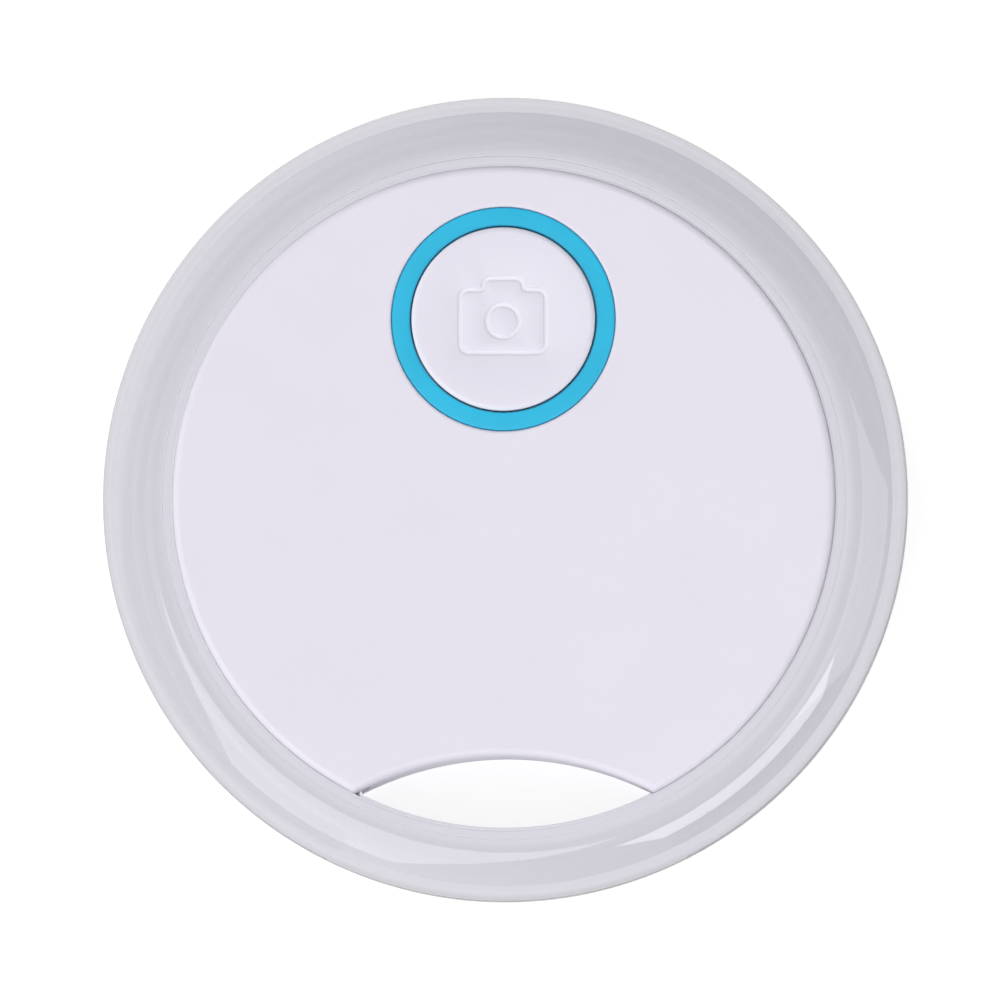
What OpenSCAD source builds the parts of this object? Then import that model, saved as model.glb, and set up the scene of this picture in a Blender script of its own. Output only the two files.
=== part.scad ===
// Round Bluetooth key tag with a push button. Two moulded case halves clamp a clear ring between
// them. A coin cell sits behind a bayonet door at the back, under a board that carries the radio.
// The tag lies on its back: +Z points out of the front face and +Y towards the button.

/* [Ring] */
// Outer diameter of the clear ring
ring_d = 40; // [39:0.5:43]
// Width of the clear ring, from the case to its outer edge
ring_w = 3.6; // [3:0.1:3.6]
// Height of the clear ring
ring_h = 7; // [6:0.1:7.2]
// Radius that rounds the ring's outer edges
ring_round = 2.7; // [1.5:0.1:2.8]

/* [Key eye] */
// Height of the lens-shaped eye at its middle
eye_h = 3.4; // [2.6:0.1:3.8]
// Radius of the round bite in the case that opens the eye
bite_r = 16.05; // [14:0.5:20]

/* [Case] */
// Thickness of the front face
face_t = 1; // [0.8:0.1:1.4]
// Thickness of the side walls
wall_t = 0.8; // [0.7:0.05:0.9]
// Radius that rounds the case's visible edges
edge_r = 0.4; // [0.2:0.05:0.6]
// Free height above the board for its components
part_room = 1.2; // [1.2:0.05:1.6]

/* [Button] */
// Distance of the button's centre above the middle of the tag
button_y = 8.8; // [8.2:0.1:9]
// Radius of the button
button_r = 4.54; // [4.2:0.02:4.6]
// Width of the coloured ring round the button
bezel_w = 0.92; // [0.7:0.02:1]
// Height by which the button stands proud of the face
button_proud = 0.2; // [0.1:0.05:0.5]
// Distance that the button travels
button_travel = 0.25; // [0.15:0.01:0.25]

/* [Battery] */
// Diameter of the coin cell
cell_d = 20; // [20:0.1:20.2]
// Thickness of the coin cell
cell_t = 3.2; // [2.5:0.1:3.2]
// Angle by which the door turns to unlock
door_turn = 40; // [35:1:50]
// Width of the coin slot in the door
slot_w = 1.8; // [1.4:0.1:2.2]

/* [Board] */
// Thickness of the circuit board
board_t = 0.6; // [0.6:0.1:1]

/* [Hidden] */
$fn = 96;
eps = 0.01;

// Heights, from the resting face at z = 0 up to the front face
door_recess = 0.15;
door_t = 1.2;
z_cell = door_recess + door_t + 0.05;
z_cell_top = z_cell + cell_t;
z_board = z_cell_top + 0.4;
z_parts = z_board + board_t;
z_under = z_parts + part_room;
z_face = z_under + face_t;
z_mid = z_face / 2;
floor_t = door_recess + door_t;

// Case halves: a shoulder of each traps the ring's tongue, and a spigot passes inside it
shell_r = ring_d / 2 - ring_w;
tongue_h = 2.2;
z_tongue_lo = z_mid - tongue_h / 2;
z_tongue_hi = z_mid + tongue_h / 2;
tongue_r = shell_r - 0.5;
spigot_r = tongue_r - 0.1;
cavity_r = spigot_r - wall_t;
parting_gap = 0.1;

// Eye: the bite in the case faces the ring's inner edge
eye_r = shell_r - 0.2;
bite_y = eye_h - eye_r - bite_r;
bite_wall = 1;
ring_gap = 0.22;

// Button, bezel and switch
bezel_r = button_r + 0.08 + bezel_w;
bezel_top = z_face - 0.1;
cap_flange_r = button_r + 0.66;
z_flange = z_under + 0.1;
flange_t = 0.4;
z_well = z_parts + 0.1;
z_stem = z_parts + 0.95;
switch_w = 4.5;
pin_r = 0.98;

// Battery bay
cell_r = cell_d / 2;
cell_y = 1;
opening_r = cell_r + 0.5;
neck_r = opening_r - 0.08;
lug_r = opening_r + 0.7;
well_r = lug_r + 0.15;
well_wall = 0.8;
door_r = lug_r + 0.7;
seal_r = (lug_r + door_r) / 2 + 0.05;
z_ledge = 0.9;
lug_angles = [90, 210, 330];

// Screws and posts that hold the case and the board
screw_at = [for (a = [40, 140, 210, 330]) (cavity_r - 0.9) * [cos(a), sin(a)]];
boss_r = 1.3;
shank_r = 0.6;
head_r = 1.1;
post_at = [[8, 9.8], [-8, 9.8], [9.2, -7.6], [-9.2, -7.6]];
pin_at = [post_at[0], post_at[3]];

// Sounder under the lower half of the face
piezo_y = -4.5;
piezo_r = 6;
z_piezo = z_under - 0.1;

// Points of an arc about a centre, from one angle to another
function arc(cx, cy, r, from, to, steps = 8) =
    [for (i = [0:steps]) let (a = from + (to - from) * i / steps) [cx + r * cos(a), cy + r * sin(a)]];

// Outline of a thin strip of constant thickness that follows a bent line
function unit(v) = v / norm(v);
function left(v) = [-v[1], v[0]];
function edge(p, i, d) =
    let (a = unit(i > 0 ? p[i] - p[i - 1] : p[1] - p[0]))
    let (b = i < len(p) - 1 ? unit(p[i + 1] - p[i]) : a)
    let (m = unit(left(a) + left(b)))
    p[i] + m * d / (m * left(a));
function strip(p, t) = concat(
    [for (i = [0:len(p) - 1]) edge(p, i, t / 2)],
    [for (i = [len(p) - 1:-1:0]) edge(p, i, -t / 2)]
);

// A bent strip of metal, its profile in XZ and its width along Y
module leaf(p, t, w) {
    rotate([90, 0, 0])
        linear_extrude(w, center = true)
            polygon(strip(p, t));
}

module tube(r_out, r_in, h) {
    difference() {
        cylinder(r = r_out, h = h);
        translate([0, 0, -eps]) cylinder(r = r_in, h = h + 2 * eps);
    }
}

module at_button() {
    translate([0, button_y, 0]) children();
}

module at_cell() {
    translate([0, cell_y, 0]) children();
}

module at_each(places) {
    for (p = places) translate([p[0], p[1], 0]) children();
}

// The space that the round bite takes out of a case half, flared at the visible edge
module bite(z_edge, up) {
    z_in = z_edge - up * edge_r;
    z_out = z_edge + up;
    flare = arc(bite_r + edge_r, z_in, edge_r, 180, 180 - up * 90);
    translate([0, bite_y, 0])
        rotate_extrude($fn = 180)
            polygon(concat([[0, z_mid - up * 3], [bite_r, z_mid - up * 3]], flare,
                [[bite_r + edge_r, z_out], [0, z_out]]));
}

// Inside of a case half, between two heights
module cavity(z0, z1) {
    difference() {
        translate([0, 0, z0]) cylinder(r = cavity_r, h = z1 - z0);
        translate([0, bite_y, z0 - 1]) cylinder(r = bite_r + bite_wall, h = z1 - z0 + 2, $fn = 180);
    }
}

module front_shell() {
    z_low = z_mid + parting_gap / 2;
    profile = concat([[0, z_low], [spigot_r, z_low], [spigot_r, z_tongue_hi], [shell_r, z_tongue_hi]],
        arc(shell_r - edge_r, z_face - edge_r, edge_r, 0, 90), [[0, z_face]]);
    hole_r = bezel_r + 0.02;
    hole_edge = 0.15;
    color([0.90, 0.89, 0.93])
    difference() {
        union() {
            difference() {
                rotate_extrude($fn = 180) polygon(profile);
                bite(z_face, 1);
                cavity(z_low - 1, z_under);
            }
            at_each(screw_at) translate([0, 0, z_low]) cylinder(r = boss_r, h = z_under - z_low + eps);
            at_each(post_at) translate([0, 0, z_parts]) cylinder(r = 0.9, h = part_room + eps);
            at_each(pin_at) translate([0, 0, z_board + 0.05]) cylinder(r = 0.5, h = board_t);
        }
        at_each(screw_at) translate([0, 0, z_low - 1])
            cylinder(r = shank_r + 0.02, h = z_under - z_low + 0.6);
        at_button() rotate_extrude()
            polygon(concat([[0, z_under - 1], [hole_r, z_under - 1]],
                arc(hole_r + hole_edge, z_face - hole_edge, hole_edge, 180, 90),
                [[hole_r + hole_edge, z_face + 1], [0, z_face + 1]]));
    }
}

module rear_shell() {
    z_high = z_mid - parting_gap / 2;
    profile = concat([[0, z_high], [spigot_r, z_high], [spigot_r, z_tongue_lo], [shell_r, z_tongue_lo]],
        arc(shell_r - edge_r, edge_r, edge_r, 0, -90), [[0, 0]]);
    rib_in = cell_r + 0.15;
    rib_l = well_r + 0.3 - rib_in;
    rib_low = floor_t + 0.6;
    color([0.90, 0.89, 0.93])
    difference() {
        union() {
            difference() {
                rotate_extrude($fn = 180) polygon(profile);
                bite(0, -1);
                cavity(floor_t, z_high + 1);
            }
            at_cell() translate([0, 0, floor_t - eps])
                tube(well_r + well_wall, well_r, z_board - floor_t + eps);
            at_each(screw_at) translate([0, 0, eps]) cylinder(r = boss_r, h = z_high - eps);
            // Ribs that centre the cell above the door's lugs
            at_cell() for (a = [30, 90, 150, 225, 315]) rotate(a)
                translate([rib_in, -0.4, rib_low]) cube([rib_l, 0.8, z_cell_top - rib_low]);
        }
        // Stepped opening for the door, with a way in for each lug
        at_cell() {
            translate([0, 0, -1]) cylinder(r = door_r + 0.1, h = 1 + z_ledge);
            translate([0, 0, -1]) cylinder(r = opening_r, h = 1 + floor_t + eps);
            for (a = lug_angles) rotate(a - door_turn) lug_way();
        }
        at_each(screw_at) translate([0, 0, -1]) cylinder(r = head_r + 0.15, h = 1.8);
        at_each(screw_at) translate([0, 0, -1]) cylinder(r = shank_r + 0.15, h = z_high + 2);
        // Marks for locked, a dot, and unlocked, a ring
        at_cell() rotate(90) translate([door_r + 1, 0, -eps]) cylinder(r = 0.3, h = 0.15, $fn = 32);
        at_cell() rotate(90 - door_turn) translate([door_r + 1, 0, -eps]) difference() {
            cylinder(r = 0.45, h = 0.15, $fn = 32);
            translate([0, 0, -1]) cylinder(r = 0.25, h = 2, $fn = 32);
        }
    }
}

// A sector of a ring about Z, centred on +X and under a half turn wide
module sector(r_in, r_out, half, z0, h) {
    reach = 2 * r_out;
    translate([0, 0, z0])
    intersection() {
        tube(r_out, r_in, h);
        translate([0, 0, -1]) linear_extrude(h + 2)
            polygon([[0, 0], reach * [cos(half), -sin(half)], [reach, 0], reach * [cos(half), sin(half)]]);
    }
}

module lug_way() {
    sector(opening_r - 0.5, lug_r + 0.1, 13, z_ledge - 0.5, floor_t - z_ledge + 1);
}

module clear_ring() {
    r_out = ring_d / 2;
    z0 = z_mid - ring_h / 2;
    z1 = z_mid + ring_h / 2;
    bore_r = shell_r + ring_gap;
    lip = 0.45;
    // Rounded outside, softened lips at the bore, and the tongue between the case halves
    profile = concat(
        [[tongue_r, z_tongue_lo], [bore_r, z_tongue_lo]],
        arc(bore_r + lip, z0 + lip, lip, 180, 270),
        arc(r_out - ring_round, z0 + ring_round, ring_round, -90, 0, 12),
        arc(r_out - ring_round, z1 - ring_round, ring_round, 0, 90, 12),
        arc(bore_r + lip, z1 - lip, lip, 90, 180),
        [[bore_r, z_tongue_hi], [tongue_r, z_tongue_hi]]
    );
    color([0.84, 0.84, 0.88, 0.55])
    difference() {
        rotate_extrude($fn = 180) polygon(profile);
        // The tongue stops short of the eye
        intersection() {
            translate([0, 0, z_tongue_lo - 1]) cylinder(r = eye_r, h = tongue_h + 2, $fn = 180);
            translate([0, bite_y, z_tongue_lo - 1]) cylinder(r = bite_r, h = tongue_h + 2, $fn = 180);
        }
    }
}

module button_bezel() {
    soft = 0.12;
    bore_r = button_r + 0.08;
    z_step = z_flange + 0.05;
    skirt_in = cap_flange_r + 0.15;
    profile = concat(
        [[bore_r, z_step]],
        arc(bore_r + soft, bezel_top - soft, soft, 180, 90),
        arc(bezel_r - soft, bezel_top - soft, soft, 90, 0),
        [[bezel_r, z_under], [bezel_r + 0.66, z_under], [bezel_r + 0.66, z_under - flange_t],
         [skirt_in, z_under - flange_t], [skirt_in, z_step]]
    );
    color([0.25, 0.74, 0.89])
    at_button() rotate_extrude() polygon(profile);
}

// Rounded rectangle centred on the origin
module rounded(w, h, r) {
    square([w - 2 * r, h], center = true);
    square([w, h - 2 * r], center = true);
    for (x = [-1, 1], y = [-1, 1])
        translate([x * (w / 2 - r), y * (h / 2 - r)]) circle(r = r, $fn = 48);
}

// Outline of the camera sign, grown by g: a rounded body with a low hump on top
module camera_outline(g) {
    body_w = 4.25;
    body_h = 3.1;
    hump_w = 2.14;
    hump_top_w = 1.5;
    hump_h = 0.58;
    rounded(body_w + 2 * g, body_h + 2 * g, 0.45 + g);
    translate([0, body_h / 2])
        polygon([[-hump_w / 2 - g, -0.5], [hump_w / 2 + g, -0.5], [hump_w / 2 + g, 0],
            [hump_top_w / 2 + g, hump_h + g], [-hump_top_w / 2 - g, hump_h + g], [-hump_w / 2 - g, 0]]);
}

module camera_sign(line_w) {
    translate([0, -0.12]) {
        difference() {
            camera_outline(line_w / 2);
            camera_outline(-line_w / 2);
        }
        difference() {
            circle(r = 0.8 + line_w / 2, $fn = 64);
            circle(r = 0.8 - line_w / 2, $fn = 64);
        }
    }
}

module button_cap() {
    z_top = z_face + button_proud;
    z_low = z_flange - flange_t;
    soft = 0.25;
    hollow_r = 3.7;
    cap_t = 0.9;
    sign_deep = 0.12;
    profile = concat([[0, z_low], [cap_flange_r, z_low], [cap_flange_r, z_flange], [button_r, z_flange]],
        arc(button_r - soft, z_top - soft, soft, 0, 90), [[0, z_top]]);
    color([0.91, 0.90, 0.94])
    at_button() {
        difference() {
            rotate_extrude() polygon(profile);
            translate([0, 0, z_low - 1]) cylinder(r = hollow_r, h = z_top - cap_t - z_low + 1);
            translate([0, 0, z_top - sign_deep]) linear_extrude(1) camera_sign(0.3);
        }
        // Nub that presses the switch
        translate([0, 0, z_stem + 0.02]) cylinder(r = 1, h = z_top - cap_t - z_stem);
    }
}

module battery_door() {
    groove = 0.2;
    arrow_r = 7.4;
    color([0.88, 0.87, 0.91])
    at_cell()
    difference() {
        union() {
            translate([0, 0, door_recess]) cylinder(r = door_r, h = z_ledge - 0.05 - door_recess);
            translate([0, 0, door_recess]) cylinder(r = neck_r, h = door_t);
            translate([0, 0, floor_t - eps]) tube(neck_r, cell_r + 0.1, 0.5 + eps);
            for (a = lug_angles) rotate(a) sector(neck_r - 0.2, lug_r, 10, floor_t + 0.05, 0.45);
        }
        // Coin slot with round ends
        translate([0, 0, door_recess - 1]) linear_extrude(1.7) rounded(12, slot_w, slot_w / 2 - eps);
        translate([0, 0, z_ledge - 0.05 - 0.35]) tube(seal_r + groove, seal_r - groove, 1);
        // Pointer that meets the lock marks, and an arrow for the way that the door unlocks
        rotate(90) translate([door_r - 1.6, 0, door_recess - 1]) linear_extrude(1.15)
            polygon([[0, -0.45], [0.8, 0], [0, 0.45]]);
        rotate(270) sector(arrow_r - 0.15, arrow_r + 0.15, 24, door_recess - 1, 1.15);
        rotate(270 - 24) translate([arrow_r, 0, door_recess - 1]) linear_extrude(1.15)
            polygon([[-0.55, 0.05], [0, -1], [0.55, 0.05]]);
    }
}

module door_seal() {
    half = 0.17;
    z0 = z_ledge - 0.38;
    color([0.15, 0.15, 0.16])
    at_cell() translate([0, 0, z0]) tube(seal_r + half, seal_r - half, 0.37);
}

module case_screws() {
    z_head = 0.12;
    head_h = 0.66;
    z_shank = z_head + head_h;
    color([0.72, 0.72, 0.74])
    at_each(screw_at) difference() {
        union() {
            rotate_extrude($fn = 48) polygon(concat([[0, z_shank], [head_r, z_shank]],
                arc(head_r - 0.3, z_head + 0.3, 0.3, 0, -90), [[0, z_head]]));
            translate([0, 0, z_shank - eps]) cylinder(r = shank_r, h = z_under - 1 - z_shank, $fn = 48);
        }
        // Cross recess
        for (a = [0, 90]) rotate(a) translate([-0.6, -0.15, z_head - 1]) cube([1.2, 0.3, 1.35]);
    }
}

module circuit_board() {
    color([0.09, 0.36, 0.24])
    translate([0, 0, z_board]) linear_extrude(board_t) difference() {
        circle(r = cavity_r - 0.25, $fn = 180);
        translate([0, bite_y]) circle(r = bite_r + bite_wall + 0.25, $fn = 180);
        at_each(screw_at) circle(r = boss_r + 0.25, $fn = 48);
        at_each(pin_at) circle(r = 0.55, $fn = 32);
    }
}

module bluetooth_chip() {
    color([0.13, 0.13, 0.14])
    translate([7, -2.3, z_parts]) cube([5, 5, 0.85]);
}

module crystal() {
    color([0.78, 0.78, 0.76]) {
        translate([8.15, -5.4, z_parts]) cube([2.5, 2, 0.3]);
        translate([8.3, -5.25, z_parts + 0.3 - eps]) cube([2.2, 1.7, 0.3]);
    }
}

module chip_antenna() {
    color([0.92, 0.92, 0.88])
    translate([-13, -2.6, z_parts]) cube([1.8, 5.2, 0.8]);
}

// One small resistor or capacitor, its length along X
module chip_part() {
    translate([-0.5, -0.25, z_parts]) cube([1, 0.5, 0.35]);
}

module chip_components() {
    color([0.55, 0.43, 0.32]) {
        for (i = [0:4]) translate([5.9, -2.3 + i * 1.2, 0]) chip_part();
        for (i = [0:3]) translate([7.4 + i * 1.1, 4.1, 0]) rotate(90) chip_part();
        for (i = [0:4]) translate([-9.9, -2 + i, 0]) chip_part();
        for (i = [0:2]) translate([-4.4, 7.8 + i, 0]) chip_part();
    }
}

module switch_base() {
    color([0.16, 0.16, 0.17])
    at_button() difference() {
        translate([-switch_w / 2, -switch_w / 2, z_parts]) cube([switch_w, switch_w, 0.65]);
        translate([0, 0, z_well]) cylinder(r = 1.7, h = 1);
    }
}

module switch_dome() {
    rise = button_travel - 0.03;
    rim_r = 1.6;
    dome_t = 0.06;
    ball_r = (rim_r * rim_r + rise * rise) / (2 * rise);
    color([0.80, 0.80, 0.78])
    at_button() intersection() {
        translate([0, 0, z_well + eps + rise - ball_r]) difference() {
            sphere(r = ball_r);
            sphere(r = ball_r - dome_t);
        }
        translate([0, 0, z_well + eps]) cylinder(r = rim_r, h = 1);
    }
}

module switch_plunger() {
    z_foot = z_well + button_travel;
    color([0.92, 0.92, 0.90])
    at_button() {
        translate([0, 0, z_foot + eps]) cylinder(r = 0.5, h = 0.1);
        translate([0, 0, z_foot + 0.05]) cylinder(r = 1.5, h = 0.2);
        translate([0, 0, z_foot + 0.1]) cylinder(r = pin_r, h = z_stem - z_foot - 0.1);
    }
}

module switch_cover() {
    color([0.75, 0.75, 0.76])
    at_button() difference() {
        translate([-switch_w / 2, -switch_w / 2, z_parts + 0.65]) cube([switch_w, switch_w, 0.1]);
        cylinder(r = pin_r + 0.07, h = 2 * z_face);
    }
}

module positive_contact() {
    x = -well_r + 0.25;
    touch = -cell_r - 0.08;
    color([0.83, 0.76, 0.55])
    translate([0, cell_y, 0])
        leaf([[touch - 0.3, z_board - 0.08], [x, z_board - 0.08], [x, z_cell + 1.5],
            [touch, z_cell + 2.1], [touch - 0.3, z_cell + 2.5]], 0.12, 3);
}

module negative_contact() {
    z_pad = z_board - 0.06;
    color([0.83, 0.76, 0.55])
    translate([0, cell_y, 0])
        leaf([[-4, z_pad], [0, z_pad], [3, z_cell_top + 0.07], [3.8, z_cell_top + 0.17]], 0.12, 3);
}

module battery_can() {
    soft = 0.35;
    wall = 0.25;
    color([0.80, 0.80, 0.80])
    at_cell() difference() {
        rotate_extrude() polygon(concat([[0, z_cell]], arc(cell_r - soft, z_cell + soft, soft, -90, 0),
            [[cell_r, z_cell_top - 0.2], [0, z_cell_top - 0.2]]));
        translate([0, 0, z_cell + wall]) cylinder(r = cell_r - wall, h = cell_t);
    }
}

module battery_gasket() {
    color([0.2, 0.2, 0.22])
    at_cell() translate([0, 0, z_cell + 0.27]) tube(cell_r - 0.27, cell_r - 0.8, cell_t - 0.45);
}

module battery_cap() {
    cap_r = cell_r - 0.82;
    cap_wall = 0.2;
    color([0.82, 0.82, 0.82])
    at_cell() difference() {
        union() {
            translate([0, 0, z_cell + 0.5]) cylinder(r = cap_r, h = cell_t - 0.8);
            translate([0, 0, z_cell + 0.5]) cylinder(r = cap_r - 0.4, h = cell_t - 0.5);
        }
        translate([0, 0, z_cell]) cylinder(r = cap_r - 0.4 - cap_wall, h = cell_t - cap_wall);
    }
}

module battery_core() {
    color([0.3, 0.3, 0.32])
    at_cell() translate([0, 0, z_cell + 0.27]) cylinder(r = cell_r - 1.45, h = cell_t - 0.5);
}

module piezo_plate() {
    color([0.80, 0.66, 0.36])
    translate([0, piezo_y, z_piezo - 0.1]) cylinder(r = piezo_r, h = 0.1);
}

module piezo_ceramic() {
    color([0.90, 0.89, 0.84])
    translate([0, piezo_y, z_piezo - 0.25]) cylinder(r = piezo_r - 1.5, h = 0.15);
}

module piezo_adhesive() {
    color([0.95, 0.94, 0.90])
    translate([0, piezo_y, z_piezo]) tube(piezo_r, piezo_r - 1, 0.1);
}

// A spring finger from the board up to a height
module spring_finger(z_top) {
    t = 0.1;
    z0 = z_parts + t / 2;
    z1 = z_top - t / 2;
    leaf([[-0.9, z0], [0.8, z0], [1, z0 + 0.25], [-0.5, z1 - 0.02], [-0.7, z1], [-1, z1 - 0.1]], t, 0.9);
}

module piezo_contacts() {
    z_top = z_piezo - 0.25;
    color([0.83, 0.76, 0.55]) {
        translate([1.5, piezo_y + 1.5, 0]) spring_finger(z_top);
        translate([0, piezo_y - piezo_r + 1.5, 0]) rotate(90) spring_finger(z_top);
    }
}

front_shell();
rear_shell();
clear_ring();
button_bezel();
button_cap();
battery_door();
door_seal();
case_screws();
circuit_board();
bluetooth_chip();
crystal();
chip_antenna();
chip_components();
switch_base();
switch_dome();
switch_plunger();
switch_cover();
positive_contact();
negative_contact();
battery_can();
battery_gasket();
battery_cap();
battery_core();
piezo_plate();
piezo_ceramic();
piezo_adhesive();
piezo_contacts();
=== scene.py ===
from math import cos, hypot, pi, radians, sin, tan

import bmesh
import bpy
from mathutils import Matrix, Vector


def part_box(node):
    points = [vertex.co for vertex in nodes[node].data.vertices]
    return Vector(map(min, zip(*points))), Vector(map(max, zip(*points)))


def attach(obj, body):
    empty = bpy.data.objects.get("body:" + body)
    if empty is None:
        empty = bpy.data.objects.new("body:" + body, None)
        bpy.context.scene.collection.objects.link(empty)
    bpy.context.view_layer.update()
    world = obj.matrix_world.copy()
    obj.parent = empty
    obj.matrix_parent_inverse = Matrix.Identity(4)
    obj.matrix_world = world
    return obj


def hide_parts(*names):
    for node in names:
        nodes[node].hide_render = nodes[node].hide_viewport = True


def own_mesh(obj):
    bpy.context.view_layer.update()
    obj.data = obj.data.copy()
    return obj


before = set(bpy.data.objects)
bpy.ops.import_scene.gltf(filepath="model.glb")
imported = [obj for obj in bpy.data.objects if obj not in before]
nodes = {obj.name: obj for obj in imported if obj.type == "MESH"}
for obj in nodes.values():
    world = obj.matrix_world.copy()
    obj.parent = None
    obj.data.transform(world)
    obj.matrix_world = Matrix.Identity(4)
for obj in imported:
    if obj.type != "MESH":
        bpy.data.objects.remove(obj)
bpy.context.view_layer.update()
scene = bpy.context.scene
scene.view_settings.view_transform = "Standard"
MM = 0.001


# ---- Camera ----------------------------------------------------------------------------------------
# A long lens looks down on the front face from over half a metre, leaning a few degrees off the
# vertical towards the key eye and to the right, with the tag filling most of the square frame.

ring_low, ring_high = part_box("clear_ring")
equator = (ring_low.z + ring_high.z) / 2
camera_distance = 0.62
frame_width = 49.72 * MM
lean_right = tan(radians(1.8))
lean_down = tan(radians(2.7))
aim = Vector((-0.28 * MM, 0.02 * MM, equator))

lens = bpy.data.cameras.new("long_lens")
lens.sensor_width = 36
lens.lens = lens.sensor_width * camera_distance / frame_width
lens.clip_start = 0.01
lens.clip_end = 20
camera = bpy.data.objects.new("camera", lens)
scene.collection.objects.link(camera)
towards_camera = Vector((lean_right, -lean_down, 1)).normalized()
camera.location = aim + towards_camera * camera_distance
across = Vector((0, 1, 0)).cross(towards_camera).normalized()
upright = towards_camera.cross(across)
camera.rotation_euler = Matrix((across, upright, towards_camera)).transposed().to_euler()
scene.camera = camera


# ---- Clear ring ------------------------------------------------------------------------------------
# The outer ring is moulded in clear polycarbonate and polished all over. Its thin tongue is trapped
# between the two case halves, and stops short at the key eye so that a split ring can pass.

ring_r = ring_high.x
bore_r = 16.41 * MM
tongue_r = 15.9 * MM
tongue_half = 1.1 * MM
eye_edge_r = 16.28 * MM
lip_r = 0.2 * MM
step_r = 16.9 * MM
step_deep = 0.12 * MM
round_r = 2.7 * MM
bite_r = 16.2 * MM
bite_centre = Vector((0, -28.85 * MM, 0))
ring_steps = 360


def arc(x, y, r, start, end, steps):
    """Points on an arc about (x, y), angles in degrees."""
    turns = [radians(start + (end - start) * i / steps) for i in range(steps + 1)]
    return [(x + r * cos(a), y + r * sin(a)) for a in turns]


def link(name, mesh):
    """Puts a mesh in the scene as a piece of its own."""
    piece = bpy.data.objects.new(name, mesh)
    scene.collection.objects.link(piece)
    return piece


def applied(piece):
    """Turns what the piece's modifiers make of it into its plain mesh."""
    evaluated = piece.evaluated_get(bpy.context.evaluated_depsgraph_get())
    mesh = bpy.data.meshes.new_from_object(evaluated)
    piece.modifiers.clear()
    old, piece.data = piece.data, mesh
    mesh.name = piece.name
    bpy.data.meshes.remove(old)
    return piece


def smooth(piece, crease):
    """Smooth shading, broken at edges sharper than the crease angle in degrees."""
    piece.data.shade_smooth()
    piece.data.set_sharp_from_angle(angle=radians(crease))
    return piece


def turn_outwards(piece):
    """Merges doubled points and turns every face outwards."""
    shell = bmesh.new()
    shell.from_mesh(piece.data)
    bmesh.ops.remove_doubles(shell, verts=shell.verts, dist=1e-7)
    bmesh.ops.recalc_face_normals(shell, faces=shell.faces)
    shell.to_mesh(piece.data)
    shell.free()
    return piece


def new_tree(name, *inputs):
    """A geometry node tree with named inputs: returns the tree, its input node and the inputs' ids."""
    tree = bpy.data.node_groups.new(name, "GeometryNodeTree")
    tree.interface.new_socket("Geometry", in_out="INPUT", socket_type="NodeSocketGeometry")
    ids = {}
    for label, kind in inputs:
        ids[label] = tree.interface.new_socket(label, in_out="INPUT", socket_type=kind).identifier
    tree.interface.new_socket("Geometry", in_out="OUTPUT", socket_type="NodeSocketGeometry")
    return tree, tree.nodes.new("NodeGroupInput"), ids


def end_tree(tree, geometry, material_socket):
    """Realizes the instances, sets the material and joins the tree's output."""
    realize = tree.nodes.new("GeometryNodeRealizeInstances")
    finish = tree.nodes.new("GeometryNodeSetMaterial")
    out = tree.nodes.new("NodeGroupOutput")
    tree.links.new(geometry, realize.inputs["Geometry"])
    tree.links.new(realize.outputs["Geometry"], finish.inputs["Geometry"])
    tree.links.new(material_socket, finish.inputs["Material"])
    tree.links.new(finish.outputs["Geometry"], out.inputs["Geometry"])


def grow(piece, tree, ids, **values):
    """Runs a geometry node tree on a piece with these input values and keeps the plain mesh."""
    modifier = piece.modifiers.new(tree.name, "NODES")
    modifier.node_group = tree
    for label, value in values.items():
        modifier[ids[label]] = value
    return applied(piece)


class Finish:
    """A node material: a Principled shader and the few nodes that a finish is built from."""

    def __init__(self, name, roughness, **sockets):
        self.material = bpy.data.materials.new(name)
        self.material.use_nodes = True
        self.tree = self.material.node_tree
        self.shader = self.tree.nodes["Principled BSDF"]
        self.shader.inputs["Roughness"].default_value = roughness
        for label, value in sockets.items():
            self.shader.inputs[label.replace("_", " ")].default_value = value
        self.place = self.tree.nodes.new("ShaderNodeTexCoord").outputs["Object"]
        self.normal = None

    def node(self, kind, **settings):
        """A new node with these settings."""
        made = self.tree.nodes.new(kind)
        for label, value in settings.items():
            setattr(made, label, value)
        return made

    def noise(self, grain, detail=2.0, roughness=0.5):
        """Noise whose features are about `grain` metres across."""
        made = self.node("ShaderNodeTexNoise")
        made.inputs["Scale"].default_value = 1 / grain
        made.inputs["Detail"].default_value = detail
        made.inputs["Roughness"].default_value = roughness
        self.tree.links.new(self.place, made.inputs["Vector"])
        return made.outputs["Fac"]

    def ramp(self, value, low, high, start=0.0, end=1.0):
        """Maps a value from one range to another."""
        made = self.node("ShaderNodeMapRange")
        self.tree.links.new(value, made.inputs["Value"])
        for label, number in (("From Min", start), ("From Max", end), ("To Min", low), ("To Max", high)):
            made.inputs[label].default_value = number
        return made.outputs["Result"]

    def colour(self, factor, one, other):
        """Base colour that goes from one to another with a factor."""
        mix = self.node("ShaderNodeMix", data_type="RGBA")
        self.tree.links.new(factor, mix.inputs["Factor"])
        mix.inputs["A"].default_value = (*one, 1)
        mix.inputs["B"].default_value = (*other, 1)
        self.tree.links.new(mix.outputs["Result"], self.shader.inputs["Base Color"])

    def rough(self, factor, low, high):
        """Roughness that varies between two values with a noise."""
        self.tree.links.new(self.ramp(factor, low, high, 0.3, 0.7), self.shader.inputs["Roughness"])

    def bump(self, height, distance):
        """Adds a layer of relief, its height in metres."""
        made = self.node("ShaderNodeBump")
        made.inputs["Distance"].default_value = distance
        made.inputs["Strength"].default_value = 1.0
        self.tree.links.new(height, made.inputs["Height"])
        if self.normal is not None:
            self.tree.links.new(self.normal, made.inputs["Normal"])
        self.normal = made.outputs["Normal"]
        self.tree.links.new(self.normal, self.shader.inputs["Normal"])


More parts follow.
